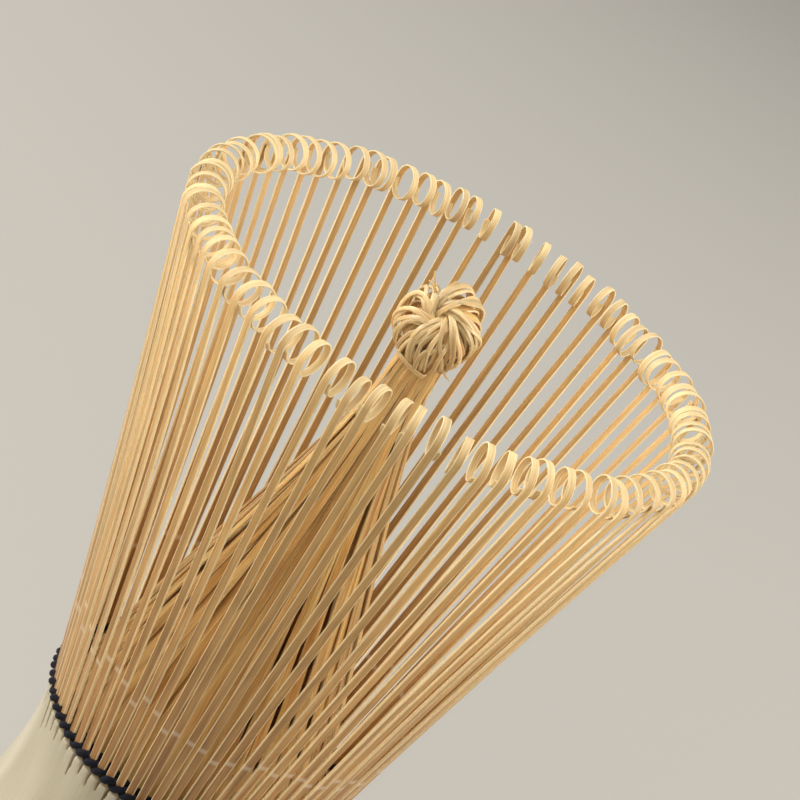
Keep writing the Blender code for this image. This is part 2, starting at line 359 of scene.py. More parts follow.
def splitBamboo(name, look):
    # split and shaved moso bamboo: straw flesh with long pores, paler along cut edges (partly the cut flesh,
    # partly a painted highlight), a waxy sheen
    grain = bambooGrain
    material, tree, shader = newMaterial(name)
    uv = addNode(tree, "ShaderNodeUVMap", {"uv_map": "grain"}).outputs["UV"]
    tone, along, side, pale = [
        addNode(tree, "ShaderNodeAttribute", {"attribute_name": label}).outputs["Fac"]
        for label in ("tone", "along", "side", "pale")
    ]
    fine = addNode(tree, "ShaderNodeMapping", {"Scale": grain["fibres"]}, {"Vector": uv})
    fibres = addNode(
        tree, "ShaderNodeTexNoise",
        {"Scale": 1.0, "Detail": 4.0, "Roughness": 0.6},
        {"Vector": fine.outputs["Vector"]},
    ).outputs["Fac"]
    wide = addNode(tree, "ShaderNodeMapping", {"Scale": grain["bands"]}, {"Vector": uv})
    bands = addNode(
        tree, "ShaderNodeTexNoise",
        {"Scale": 1.0, "Detail": 2.0},
        {"Vector": wide.outputs["Vector"]},
    )
    body = addNode(
        tree, "ShaderNodeValToRGB",
        {"stops": [(0.3, look["dark"]), (0.5, look["middle"]), (0.72, look["light"])]},
        {"Fac": bands.outputs["Fac"]},
    )
    # each tine has its own tone, and its pores darken it in streaks
    toned = addNode(
        tree, "ShaderNodeMath",
        {"operation": "MULTIPLY_ADD", 1: look["toneSpread"], 2: 1 - look["toneSpread"] / 2},
        {0: tone},
    )
    streak = addNode(
        tree, "ShaderNodeMapRange",
        {"From Min": 0.3, "From Max": 0.75, "To Min": grain["darkest"], "To Max": grain["lightest"]},
        {"Value": fibres},
    )
    both = addNode(
        tree, "ShaderNodeMath", {"operation": "MULTIPLY"},
        {0: toned.outputs[0], 1: streak.outputs["Result"]},
    )
    # scraped thin towards the tip it is paler, and the darker root is partly painted shade; the split edges
    # are palest, partly cut flesh and partly a painted highlight
    thin = addNode(tree, "ShaderNodeMath", {"operation": "MULTIPLY", 1: look["paleShare"]}, {0: pale})
    scraped = addNode(
        tree, "ShaderNodeValToRGB", {"stops": [(0.65, look["thin"]), (1.0, look["tip"])]}, {"Fac": pale},
    )
    lightened = addNode(
        tree, "ShaderNodeMix", {"data_type": "RGBA"},
        {0: thin.outputs[0], 6: body.outputs["Color"], 7: scraped.outputs["Color"]},
    )
    tinted = addNode(
        tree, "ShaderNodeVectorMath", {"operation": "SCALE"},
        {0: lightened.outputs[2], "Scale": both.outputs[0]},
    )
    # the cut edges are paler: partly the cut flesh, partly a painted highlight along each edge
    fromMiddle = addNode(tree, "ShaderNodeMath", {"operation": "ABSOLUTE"}, {0: side})
    edge = addNode(
        tree, "ShaderNodeMapRange",
        {"From Min": look["edgeHighlightFrom"], "From Max": look["edgeHighlightFrom"] + 0.06, "To Max": look["edge"]},
        {"Value": fromMiddle.outputs[0]},
    )
    edgeHighlighted = addNode(
        tree, "ShaderNodeMix", {"data_type": "RGBA", 7: hexColour(grain["cutEdgeHighlight"])},
        {0: edge.outputs["Result"], 6: tinted.outputs["Vector"]},
    )
    # where the shaving knife lifted off, a short pale tick crosses each strip
    tickPlace = addNode(
        tree, "ShaderNodeMath",
        {"operation": "MULTIPLY_ADD", 1: grain["tickWander"], 2: look["tick"]},
        {0: tone},
    )
    offset = addNode(tree, "ShaderNodeMath", {"operation": "SUBTRACT"}, {0: along, 1: tickPlace.outputs[0]})
    fromTick = addNode(tree, "ShaderNodeMath", {"operation": "ABSOLUTE"}, {0: offset.outputs[0]})
    tick = addNode(
        tree, "ShaderNodeMapRange",
        {"From Min": 0.12, "From Max": 0.4, "To Min": grain["tickShare"], "To Max": 0.0},
        {"Value": fromTick.outputs[0]},
    )
    marked = addNode(
        tree, "ShaderNodeMix", {"data_type": "RGBA", 7: hexColour(grain["scrape"])},
        {0: tick.outputs["Result"], 6: edgeHighlighted.outputs[2]},
    )
    tree.links.new(marked.outputs[2], shader.inputs["Base Color"])
    # waxy where the knife slid, more matt where it scraped
    rough = addNode(
        tree, "ShaderNodeMapRange",
        {"From Min": 0.3, "From Max": 0.7, "To Min": look["rough"] - 0.07, "To Max": look["rough"] + 0.1},
        {"Value": fibres},
    )
    matt = addNode(
        tree, "ShaderNodeMath", {"operation": "MULTIPLY_ADD", 1: grain["thinMatt"]},
        {0: pale, 2: rough.outputs["Result"]},
    )
    tree.links.new(matt.outputs[0], shader.inputs["Roughness"])
    bump = addNode(
        tree, "ShaderNodeBump", {"Strength": look["bump"], "Distance": 0.03 * mm}, {"Height": fibres},
    )
    tree.links.new(bump.outputs["Normal"], shader.inputs["Normal"])
    shader.inputs["IOR"].default_value = 1.52
    # light comes through where it is thin
    glow = addNode(
        tree, "ShaderNodeMath",
        {"operation": "MULTIPLY_ADD", 1: grain["thinGlow"], 2: look["glow"]},
        {0: pale},
    )
    tree.links.new(glow.outputs[0], shader.inputs["Subsurface Weight"])
    shader.inputs["Subsurface Radius"].default_value = (0.9, 0.5, 0.22)
    shader.inputs["Subsurface Scale"].default_value = 0.6 * mm
    return material


skinFinish = {
    "fibres": (6.5, 0.10, 1.0),     # pores about 0.15 mm wide under the scraped skin
    "clouds": (0.16, 0.03, 1.0),    # slow changes of tone some 6 mm across
    "freckles": (0.30, 0.12, 1.0),  # one to every few millimetres, drawn out along the grain
    "dark": "#ACA389",
    "middle": "#B7AE96",
    "light": "#C3BAA4",
    "freckle": "#85704A",
    "pore": "#A67C46",
    "flesh": "#CFA869",
    # colour of the slits: painted shade in the narrow grooves over the flesh they open onto
    "slit": "#8A6A3C",
}


def culmSkin(name):
    # scraped culm skin, sun-bleached: ivory with a trace of green, waxed by handling, with fine long pores
    look = skinFinish
    material, tree, shader = newMaterial(name)
    uv = addNode(tree, "ShaderNodeUVMap", {"uv_map": "grain"}).outputs["UV"]
    flesh, slit = [
        addNode(tree, "ShaderNodeAttribute", {"attribute_name": label}).outputs["Fac"]
        for label in ("flesh", "slit")
    ]
    fine = addNode(tree, "ShaderNodeMapping", {"Scale": look["fibres"]}, {"Vector": uv})
    fibres = addNode(
        tree, "ShaderNodeTexNoise",
        {"Scale": 1.0, "Detail": 5.0, "Roughness": 0.65},
        {"Vector": fine.outputs["Vector"]},
    ).outputs["Fac"]
    wide = addNode(tree, "ShaderNodeMapping", {"Scale": look["clouds"]}, {"Vector": uv})
    clouds = addNode(
        tree, "ShaderNodeTexNoise",
        {"Scale": 1.0, "Detail": 3.0},
        {"Vector": wide.outputs["Vector"]},
    )
    body = addNode(
        tree, "ShaderNodeValToRGB",
        {"stops": [(0.3, look["dark"]), (0.5, look["middle"]), (0.7, look["light"])]},
        {"Fac": clouds.outputs["Fac"]},
    )
    streak = addNode(
        tree, "ShaderNodeMapRange",
        {"From Min": 0.3, "From Max": 0.75, "To Min": 0.87, "To Max": 1.06},
        {"Value": fibres},
    )
    tinted = addNode(
        tree, "ShaderNodeVectorMath", {"operation": "SCALE"},
        {0: body.outputs["Color"], "Scale": streak.outputs["Result"]},
    )
    # a few small brown freckles
    spread = addNode(tree, "ShaderNodeMapping", {"Scale": look["freckles"]}, {"Vector": uv})
    cells = addNode(
        tree, "ShaderNodeTexVoronoi",
        {"Scale": 1.0, "Randomness": 1.0},
        {"Vector": spread.outputs["Vector"]},
    )
    freckle = addNode(
        tree, "ShaderNodeMapRange",
        {"From Min": 0.02, "From Max": 0.06, "To Min": 0.45, "To Max": 0.0},
        {"Value": cells.outputs["Distance"]},
    )
    freckled = addNode(
        tree, "ShaderNodeMix", {"data_type": "RGBA", 7: hexColour(look["freckle"])},
        {0: freckle.outputs["Result"], 6: tinted.outputs["Vector"]},
    )
    # cut ends and bore show the darker flesh, with a pore every 0.6 mm or so; the slits are darker still,
    # partly the flesh they open onto and partly painted shade in the narrow grooves
    place = addNode(tree, "ShaderNodeTexCoord").outputs["Object"]
    specks = addNode(tree, "ShaderNodeTexVoronoi", {"Scale": 1600.0}, {"Vector": place})
    pores = addNode(
        tree, "ShaderNodeValToRGB",
        {"stops": [(0.12, look["pore"]), (0.30, look["flesh"])]},
        {"Fac": specks.outputs["Distance"]},
    )
    cut = addNode(
        tree, "ShaderNodeMix", {"data_type": "RGBA"},
        {0: flesh, 6: freckled.outputs[2], 7: pores.outputs["Color"]},
    )
    # painted shade darkens the slits
    shadowed = addNode(
        tree, "ShaderNodeMix", {"data_type": "RGBA", 7: hexColour(look["slit"])},
        {0: slit, 6: cut.outputs[2]},
    )
    tree.links.new(shadowed.outputs[2], shader.inputs["Base Color"])
    rough = addNode(
        tree, "ShaderNodeMapRange",
        {"From Min": 0.3, "From Max": 0.7, "To Min": 0.34, "To Max": 0.50},
        {"Value": fibres},
    )
    tree.links.new(rough.outputs["Result"], shader.inputs["Roughness"])
    bump = addNode(tree, "ShaderNodeBump", {"Strength": 0.25, "Distance": 0.04 * mm}, {"Height": fibres})
    tree.links.new(bump.outputs["Normal"], shader.inputs["Normal"])
    shader.inputs["IOR"].default_value = 1.52
    shader.inputs["Subsurface Weight"].default_value = 0.12
    shader.inputs["Subsurface Radius"].default_value = (1.0, 0.7, 0.35)
    shader.inputs["Subsurface Scale"].default_value = 0.8 * mm
    return material


threadFinish = {
    "shade": "#030409",
    "lit": "#10132A",
    "lay": math.radians(35),        # the plies run round the cord at this angle
    "plies": 1.6,
    "fuzz": 9.0,
}


def cottonThread(name):
    # dyed cotton cord: near black indigo, matt, with a twist of plies about 0.3 mm apart
    look = threadFinish
    material, tree, shader = newMaterial(name)
    uv = addNode(tree, "ShaderNodeUVMap", {"uv_map": "grain"}).outputs["UV"]
    ply = addNode(tree, "ShaderNodeMapping", {"Rotation": (0, 0, look["lay"])}, {"Vector": uv})
    twist = addNode(
        tree, "ShaderNodeTexWave",
        {"Scale": look["plies"], "Distortion": 1.2, "Detail": 2.0},
        {"Vector": ply.outputs["Vector"]},
    )
    fuzz = addNode(tree, "ShaderNodeTexNoise", {"Scale": look["fuzz"], "Detail": 4.0}, {"Vector": uv})
    mixed = addNode(
        tree, "ShaderNodeMath", {"operation": "MULTIPLY"},
        {0: twist.outputs["Fac"], 1: fuzz.outputs["Fac"]},
    ).outputs[0]
    colour = addNode(
        tree, "ShaderNodeValToRGB", {"stops": [(0.1, look["shade"]), (0.5, look["lit"])]}, {"Fac": mixed},
    )
    tree.links.new(colour.outputs["Color"], shader.inputs["Base Color"])
    bump = addNode(tree, "ShaderNodeBump", {"Strength": 0.8, "Distance": 0.12 * mm}, {"Height": mixed})
    tree.links.new(bump.outputs["Normal"], shader.inputs["Normal"])
    shader.inputs["Roughness"].default_value = 0.85
    shader.inputs["Specular IOR Level"].default_value = 0.25
    shader.inputs["Sheen Weight"].default_value = 0.04
    shader.inputs["Sheen Roughness"].default_value = 0.5
    return material


outerBamboo = splitBamboo("shavedBambooOuter", outerFinish)
innerBamboo = splitBamboo("shavedBambooInner", innerFinish)
skinBamboo = culmSkin("bleachedCulmSkin")
indigoThread = cottonThread("indigoCottonThread")
print("finishes made")


# outer tines

outerLook = {
    "width": 0.86 * mm,
    "thickness": 0.5 * mm,
    "innerRound": 0.19 * mm,
    "innerSteps": 3,
    "outerRound": 0.085 * mm,
    "footDepth": 1.9 * mm,          # how far the foot goes down behind the thread
    "loopRadius": 1.80 * mm,        # to the middle of the ribbon
    "rootInset": 0.05 * mm,         # pulled in under the thread
    "rootSlope": 0.185,             # outward lean at the root, growing a little towards the tip
    "rimInset": 0.14 * mm,          # the middle of the ribbon lies this far inside the rim
    "rimDrop": 0.12 * mm,
    "swingBias": math.radians(9.3),  # use has brushed all the curls a little towards one side
    "shaftTaper": 0.22,             # how much narrower it is at the top of the straight part
    "loopFlare": 0.04,
    "loopTaper": 0.08,
    "footWidth": 0.90,              # between the thread's crossings it is a little narrower and thinner
    "footThickness": 0.86,
    "footFrom": 2.5 * mm,
    "footOver": 4 * mm,
    "shaftThinning": 0.42,
    "loopThinning": 0.22,
    # paler up the shaft where scraped thin, and darker at the root as painted shade
    "shaftPaleAndRootShade": 0.74,
    "loopPale": 0.26,
    "splinters": (0, 0, 1, 1, 2, 3),
}
outerReach = rimRadius - outerLook["rimInset"]    # middle of the ribbon at the loop's outermost point


def outerCuts(length, loopLength):
    shaft = length - loopLength
    cuts = [shaft * i / 13 for i in range(1, 13)]
    cuts += [shaft + loopLength * (i - 0.5) / 30 for i in range(0, 30)]
    return cuts


def outerLine(tine):
    # in the tine's own upright plane: X outwards, Y sideways, Z up
    foot = threadHeight - outerLook["footDepth"]
    radius = outerLook["loopRadius"] * tine["loopSize"]
    loopHeight = rimTop - outerLook["rimDrop"] - radius - tine["drop"]
    reach = outerReach - tine["inset"]
    slope = outerLook["rootSlope"]
    rootRadius = outerRootRadius - outerLook["rootInset"] - slope * outerLook["footDepth"]
    rise = loopHeight - foot
    curve = (reach - rootRadius - slope * rise) / rise ** 2
    lean = math.atan(slope + 2 * curve * rise)
    top = loopHeight - radius * math.sin(lean)
    rise = top - foot
    curve = (reach - radius * (1 - math.cos(lean)) - rootRadius - slope * rise) / rise ** 2
    h = np.linspace(0, rise, 120)
    shaft = np.stack([rootRadius + slope * h + curve * h ** 2, np.zeros_like(h), foot + h], 1)
    share = h / rise
    shaft[:, 0] += tine["bow"] * np.sin(math.pi * share)
    shaft[:, 1] = tine["sideBow"] * np.sin(math.pi * share) + tine["tipShift"] * share ** 1.5
    lean = math.atan2(shaft[-1, 0] - shaft[-2, 0], shaft[-1, 2] - shaft[-2, 2])
    centre = shaft[-1] - radius * np.array([math.cos(lean), 0, -math.sin(lean)])
    t = np.linspace(0, 1, 140)[1:]
    angle = -lean + tine["turn"] * t
    size = radius * (1 - tine["tighten"] * t ** 1.4)
    across, up = size * np.cos(angle), size * np.sin(angle)
    loop = np.stack([centre[0] + across, np.zeros_like(t), centre[2] + up], 1)
    # the curl is swung a little about the tine, and drifts aside so that its end lies beside the tine
    swing = tine["swing"] * np.clip(t * 3, 0, 1)
    inward = loop[:, 0] - shaft[-1, 0]
    loop[:, 0] = shaft[-1, 0] + inward * np.cos(swing)
    loop[:, 1] = shaft[-1, 1] + inward * np.sin(swing) + tine["drift"] * t ** 1.2
    facing = np.stack([np.cos(angle), np.zeros_like(t), np.sin(angle)], 1)
    facing[:, 1] = facing[:, 0] * np.sin(swing)
    facing[:, 0] = facing[:, 0] * np.cos(swing)
    line = np.concatenate([shaft, loop])
    facing = np.concatenate([np.tile([math.cos(lean), 0, -math.sin(lean)], (len(h), 1)), facing])
    loopShare = np.concatenate([np.zeros(len(h)), t])
    shaftShare = np.concatenate([share, np.ones(len(t))])
    return line, facing, shaftShare, loopShare


plainOuterTine = {
    "loopSize": 1.0,
    "drop": 0.0,
    "inset": 0.0,
    "bow": 0.0,
    "sideBow": 0.0,
    "tipShift": 0.0,
    "turn": math.radians(350),
    "tighten": 0.14,
    "swing": 0.0,
    "drift": 0.0,
}


def lengthOf(line):
    return float(np.linalg.norm(np.diff(line, axis=0), axis=1).sum())


def makeOuterTines():
    dice = random.Random(11)
    line, _, _, loopShare = outerLine(plainOuterTine)
    length = lengthOf(line)
    loopLength = lengthOf(line[loopShare > 0])
    look = dict(outerLook, length=length, cuts=outerCuts(length, loopLength))
    tineEdge = look["width"] * 0.44
    strip = makeStrip("straightOuterTine", look)
    splinter = makeStrip("straightSplinter", splinterLook)
    for split in range(splits):
        meshes = []
        for number in range(tinesPerSplit):
            step = number - (tinesPerSplit - 1) / 2
            turned = (split * tinesPerSplit + step) * tineAngle
            loose = 0.5 if abs(step) == 2 else 1.0
            tine = {
                "loopSize": dice.gauss(1.0, 0.035),
                "drop": abs(dice.gauss(0, 0.22)) * mm,
                "inset": abs(dice.gauss(0, 0.16)) * mm,
                "bow": dice.gauss(0, 0.12) * mm,
                "sideBow": dice.gauss(0, 0.16) * mm * loose,
                "tipShift": dice.gauss(0, 0.36) * mm * loose,
                "turn": math.radians(dice.uniform(345, 382)),
                "tighten": dice.uniform(0.13, 0.19),
                "swing": math.radians(dice.gauss(0, 3)) + outerLook["swingBias"] * math.sin(turned),
                "drift": dice.choice((-1, 1)) * dice.uniform(0.1, 0.5) * mm,
            }
            line, facing, shaftShare, loopShare = outerLine(tine)
            inLoop = np.clip(loopShare * 5, 0, 1)
            flare = look["loopFlare"] * np.clip(loopShare * 4, 0, 1)
            widths = 1 - look["shaftTaper"] * shaftShare + flare - look["loopTaper"] * loopShare
            widths = widths * dice.gauss(1.0, 0.035)
            aboveFoot = shaftShare * (rimTop - threadHeight)
            free = smooth((aboveFoot - look["footFrom"]) / look["footOver"])
            widths = widths * (look["footWidth"] + 0.12 * free)
            thicknesses = look["footThickness"] + 0.10 * free
            thicknesses = thicknesses - look["shaftThinning"] * shaftShare - look["loopThinning"] * inLoop
            roll = math.radians(dice.gauss(0, 7)) * (1 - shaftShare)
            roll = roll + math.radians(dice.gauss(0, 3)) * shaftShare
            roll = roll + math.radians(dice.gauss(0, 3)) * loopShare
            # paler up the shaft where scraped thin, and darker towards the root as painted shade
            pale = look["shaftPaleAndRootShade"] * shaftShare ** 1.3 + look["loopPale"] * inLoop
            shift = (dice.uniform(0, 90), dice.uniform(0, 900))
            strips = [layStrip(strip, line, facing, roll, widths, thicknesses, pale, shift, dice.random())]
            for _ in range(dice.choice(look["splinters"])):
                # one in three along the shaft, the rest about the curl, where the blade scraped thinnest
                onShaft = dice.randrange(70, 118)
                onLoop = (dice.randrange(122, 250), dice.randrange(122, 250))
                index = dice.choice((onShaft, *onLoop))
                strips.append(laySplinter(splinter, dice, line, facing, index, tineEdge))
            for mesh in strips:
                places = turnAbout(readPoints(mesh), turned)
                mesh.vertices.foreach_set("co", places.ravel().astype(np.float32))
            meshes += strips
        label = f"{split + 1:02d}"
        piece = joinMeshes(f"outerTines{label}", meshes, outerBamboo)
        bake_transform(piece)
        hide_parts(f"outer_tines_{label}")
    bpy.data.objects.remove(strip, do_unlink=True)
    bpy.data.objects.remove(splinter, do_unlink=True)


makeOuterTines()
print("outer tines laid")


# inner tines and the knot

knotLook = {
    "centre": np.array([-0.62, 0.0, 106.1]) * mm,
    "radius": 4.15 * mm,
    "dimple": np.array([-0.51, -2.5, 1.9]),      # the side of the ball where the strips come out
    "neck": np.array([0.12, 0.3, -1.0]),
    "neckRadius": 2.2 * mm,
    "neckHeight": 99.6 * mm,
    "swirl": 1.0 * mm,
    # how many millimetres each of a split's five strips lies under the surface, from and to
    "layers": ((0, 0.35), (0.75, 1.35), (0, 0.35), (1.5, 2.4), (0, 0.35)),
    "crease": np.array([0.20, -0.05, -0.12]),    # the dimple is drawn out into a short crease
    "dip": 0.34,                                 # how far the strips sink where they meet in the dimple
    "dipAngle": math.radians(34),
    "tuck": 0.24,                                # and how far they draw in towards the neck
    "tuckAngle": math.radians(52),
    "swirlAngle": math.radians(48),
}
innerLook = {
    "width": 0.72 * mm,
    "thickness": 0.26 * mm,
    "innerRound": 0.09 * mm,
    "innerSteps": 2,
    "outerRound": 0.03 * mm,
    "footDepth": 2.2 * mm,
    "coneLength": 45 * mm,
    "rootWidth": 1.60,
    "coneTaper": 0.68,
    "ballTaper": 0.35,
    "deepWidth": 1.22,                           # the second and fourth lie behind and fill the gaps
    "rootThickness": 1.15,
    "coneThinning": 0.35,
}


def knotArc(tine):
    # over the ball from the dimple towards the neck, leaving the dimple at the bearing
    ball = knotLook["centre"]
    radius = knotLook["radius"] - tine["depth"]
    start = unit(knotLook["dimple"] / 3.2 + tine["mouth"]) * radius
    end = unit(knotLook["neck"]) * radius
    middle = (start + end) / 2
    half = np.linalg.norm(end - start) / 2
    chord = unit(end - start)
    away = unit(middle)
    across = np.cross(chord, away)
    out = away * math.cos(tine["bearing"]) + across * math.sin(tine["bearing"])
    q = float(-middle @ out)
    rho = math.hypot(half, q)
    limit = math.acos(max(-1, min(1, -q / rho)))
    angle = np.linspace(-limit, -limit + 2 * limit * tine["reach"], 90)
    points = middle + q * out + rho * (np.sin(angle)[:, None] * chord + np.cos(angle)[:, None] * out)
    share = np.linspace(0, 1, 90)
    # the strips sink where they meet in the dimple, and draw in towards the neck
    fromStart = np.arccos(np.clip(unit(points) @ unit(start), -1, 1))
    fromEnd = np.arccos(np.clip(unit(points) @ unit(end), -1, 1))
    dip = 1 - knotLook["dip"] * (1 - smooth(fromStart / knotLook["dipAngle"]))
    tuck = 1 - knotLook["tuck"] * (1 - smooth(fromEnd / knotLook["tuckAngle"]))
    puff = 1 + tine["puff"] * np.sin(math.pi * share)
    # each also leans off its own great line, and all are swirled a little about the dimple
    sideways = np.cross(unit(points), unit(np.gradient(points, axis=0)))
    lean = tine["lean"] * np.sin(math.pi * share) + tine["wave"] * np.sin(2 * math.pi * share)
    swirl = knotLook["swirl"] * (1 - smooth(fromStart / knotLook["swirlAngle"]))
    points = points * (dip * tuck * puff)[:, None] + sideways * (lean + swirl)[:, None]
    # the ball itself is lopsided
    x, _, z = unit(points).T
    bulge = 1 + 0.05 * x * z * 2 - 0.05 * x ** 2 + 0.03 * np.sin(3 * x + 1)
    return ball + points * bulge[:, None]


def bezier(a, b, c, d, count):
    t = np.linspace(0, 1, count)[:, None]
    return (1 - t) ** 3 * a + 3 * (1 - t) ** 2 * t * b + 3 * (1 - t) * t ** 2 * c + t ** 3 * d


def innerLine(azimuth, tine):
    ball = knotLook["centre"]
    foot = threadHeight - innerLook["footDepth"]
    out = np.array([math.cos(azimuth), math.sin(azimuth), 0])
    root = out * innerRootRadius + np.array([0, 0, foot])
    arc = knotArc(tine)
    neckOut = np.array([math.cos(azimuth + tine["neckTurn"]), math.sin(azimuth + tine["neckTurn"]), 0])
    neck = neckOut * (knotLook["neckRadius"] - tine["depth"] * 0.9)
    neck = neck + np.array([ball[0] * 0.8, ball[1] * 0.8, knotLook["neckHeight"]])
    lower = bezier(root, root + np.array([0, 0, 9 * mm]) - out * tine["belly"],
                   neck - np.array([0, 0, 12 * mm]) + out * tine["waist"], neck, 120)
    inside = unit(arc[1] - arc[0])
    mouth = arc[0] - inside * 1.1 * mm - unit(knotLook["dimple"]) * 1.2 * mm
    core = bezier(neck, neck + np.array([0, 0, 3 * mm]), mouth, arc[0], 40)
    line = np.concatenate([lower, core[1:], arc[1:]])
    # round the corner at the dimple
    for _ in range(6):
        line[121:-1] = (line[120:-2] + 2 * line[121:-1] + line[122:]) / 4
    coneSteps, coreSteps, arcSteps = len(lower), len(core) - 1, len(arc) - 1
    turning = np.linspace(0, 1, coreSteps)[:, None]
    facing = np.concatenate([
        np.tile(out, (coneSteps, 1)),
        turning * inside + turning[::-1] * out,
        unit(ball - arc[1:]),
    ])
    place = np.concatenate([np.linspace(0, 1, coneSteps), np.ones(coreSteps + arcSteps)])
    over = np.concatenate([np.zeros(coneSteps + coreSteps), np.linspace(0, 1, arcSteps)])
    return line, facing, place, over


strayLook = {
    "wrapSplit": 12,                # one torn strip is wound once across the neck, under the ball
    "wrapFrom": math.radians(212),
    "wrapTo": math.radians(306),
    "wrapDrop": 3.25 * mm,
    "wrapRadius": 2.75 * mm,
    "tuftSplit": 9,                 # and a few torn ends stand up from the ball
    "tufts": ((-0.62, 0.05, 0.86), (-0.50, -0.30, 0.86), (0.55, -0.62, -0.56)),
}


def layWrap(strip, dice):
    look = strayLook
    t = np.linspace(0, 1, 60)
    angle = look["wrapFrom"] + (look["wrapTo"] - look["wrapFrom"]) * t
    tuckedEnds = (1 - smooth(t * 6)) + smooth(t * 6 - 5)
    radius = look["wrapRadius"] + 0.55 * mm * np.sin(math.pi * t) - 1.0 * mm * tuckedEnds
    height = -look["wrapDrop"] + 0.25 * mm * np.sin(5 * t) - 0.3 * mm * t
    around = np.stack([np.cos(angle), np.sin(angle), np.zeros(60)], 1)
    path = knotLook["centre"] + around * radius[:, None] + np.stack([0 * t, 0 * t, height], 1)
    thin = np.full(60, 0.62)
    roll = np.full(60, 0.25)
    return layStrip(strip, path, around, roll, thin, thin, np.ones(60), (3.0, 40.0), dice.random())


def layTuft(strip, dice, direction):
    out = unit(np.array(direction))
    aside = unit(np.cross(out, [0.3, -1.0, 0.2]))
    t = np.linspace(0, 1, 20)[:, None]
    start = knotLook["centre"] + out * (knotLook["radius"] - 0.5 * mm)
    path = start + out * 1.5 * mm * t + aside * dice.uniform(-0.7, 0.7) * mm * t ** 2
    taper = 0.5 - 0.38 * t[:, 0]
    thin = np.full(20, 0.5)
    flat = np.tile(np.cross(aside, out), (20, 1))
    return layStrip(strip, path, flat, np.zeros(20), taper, thin, np.ones(20), (5.0, 70.0), dice.random())


plainInnerTine = {
    "bearing": 0.0,
    "depth": 0.3 * mm,
    "reach": 0.9,
    "puff": 0.0,
    "lean": 0.0,
    "wave": 0.0,
    "mouth": np.zeros(3),
    "neckTurn": 0.0,
    "belly": 0.0,
    "waist": 0.0,
}


def makeInnerTines():
    dice = random.Random(5)
    length = lengthOf(innerLine(0.0, plainInnerTine)[0])
    cone = innerLook["coneLength"]
    cuts = [cone * i / 16 for i in range(1, 17)]
    cuts += [cone + (length - cone) * i / 26 for i in range(1, 26)]
    look = dict(innerLook, length=length, cuts=cuts)
    strip = makeStrip("straightInnerTine", look)
    for split in range(splits):
        meshes = []
        for number in range(tinesPerSplit):
            step = number - (tinesPerSplit - 1) / 2
            azimuth = split * tinesPerSplit * tineAngle + step * tineAngle
            # bearing 0 is the short way down the front of the ball, and the back tines go the long way over
            deep = number % 2 == 1
            width = look["deepWidth"] if deep else 1.0
            ballTaper = 0.0 if deep else look["ballTaper"]
            # the deep strips take less of the pale colour: painted shade where they lie under the others
            ballPaleAndDeepShade = 0.35 if deep else 1.0
            tine = {
                "bearing": azimuth - math.radians(270) + dice.gauss(0, 0.09),
                "depth": dice.uniform(*knotLook["layers"][number]) * mm,
                "reach": dice.uniform(0.86, 0.99),
                "puff": abs(dice.gauss(0, 0.045)),
                "lean": dice.gauss(0, 0.62) * mm,
                "wave": dice.gauss(0, 0.25) * mm,
                "mouth": knotLook["crease"] * dice.gauss(0, 0.8) + [dice.gauss(0, 0.05) for _ in range(3)],
                "neckTurn": dice.gauss(0, 0.12),
                "belly": dice.gauss(0.6, 0.18) * mm,
                "waist": dice.gauss(1.6, 0.28) * mm,
            }
            line, facing, place, over = innerLine(azimuth + dice.gauss(0, 0.012), tine)
            sway = dice.gauss(0, 0.22) * mm
            side = np.array([-math.sin(azimuth), math.cos(azimuth), 0])
            inCone = np.sin(math.pi * place)
            onBall = np.clip(over * 12, 0, 1)
            phase = dice.uniform(0, 6)
            ripple = dice.gauss(0, 0.18) * mm
            wave = inCone * (sway + ripple * np.sin(2 * math.pi * place + phase))
            line = line + np.where(place < 1, wave, 0)[:, None] * side
            widths = look["rootWidth"] - look["coneTaper"] * smooth(place * 1.05) - ballTaper * onBall
            widths = widths * width
            widths = widths * dice.gauss(1.0, 0.08)
            thicknesses = look["rootThickness"] - look["coneThinning"] * place
            roll = math.radians(dice.gauss(0, 12)) * inCone
            roll = roll + math.radians(dice.gauss(0, 26)) * np.sin(math.pi * over)
            pale = np.clip(ballPaleAndDeepShade * onBall + 0.3 * smooth((place - 0.6) / 0.4), 0, 1)
            shift = (dice.uniform(0, 90), dice.uniform(0, 900))
            tone = dice.random()
            meshes.append(layStrip(strip, line, facing, roll, widths, thicknesses, pale, shift, tone))
        if split == strayLook["wrapSplit"]:
            meshes.append(layWrap(strip, dice))
        if split == strayLook["tuftSplit"]:
            meshes += [layTuft(strip, dice, direction) for direction in strayLook["tufts"]]
        label = f"{split + 1:02d}"
        piece = joinMeshes(f"innerTines{label}", meshes, innerBamboo)
        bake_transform(piece)
        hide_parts(f"inner_tines_{label}")
    bpy.data.objects.remove(strip, do_unlink=True)


makeInnerTines()
print("inner tines and knot laid")


# handle

handleLook = {
    "columns": 800,
    "mouthRadius": 15.7 * mm,
    "waistRadius": 14.95 * mm,
    "waistHeight": 49.5 * mm,
    "nodeRadius": 16.2 * mm,
    "footRadius": 15.9 * mm,
    "footBore": 11.8 * mm,
    "topBore": 12.6 * mm,
    "nodeHeight": 34.0 * mm,
    "ridge": 0.5 * mm,
    "floor": 2.5 * mm,
    "slitZone": 6.0 * mm,
    "slitDepths": (0.7, 1.2, 1.8, 2.5, 3.6, 5.2),    # millimetres, before each one's own share
    "slitWidth": 0.05 * mm,                          # half of it at the bottom, and what it opens by above
    "slitOpens": 0.09 * mm,
    "slitPush": 0.6 * mm,
    "fingerHeight": 2.4 * mm,
    "fingerRound": 0.10 * mm,
}


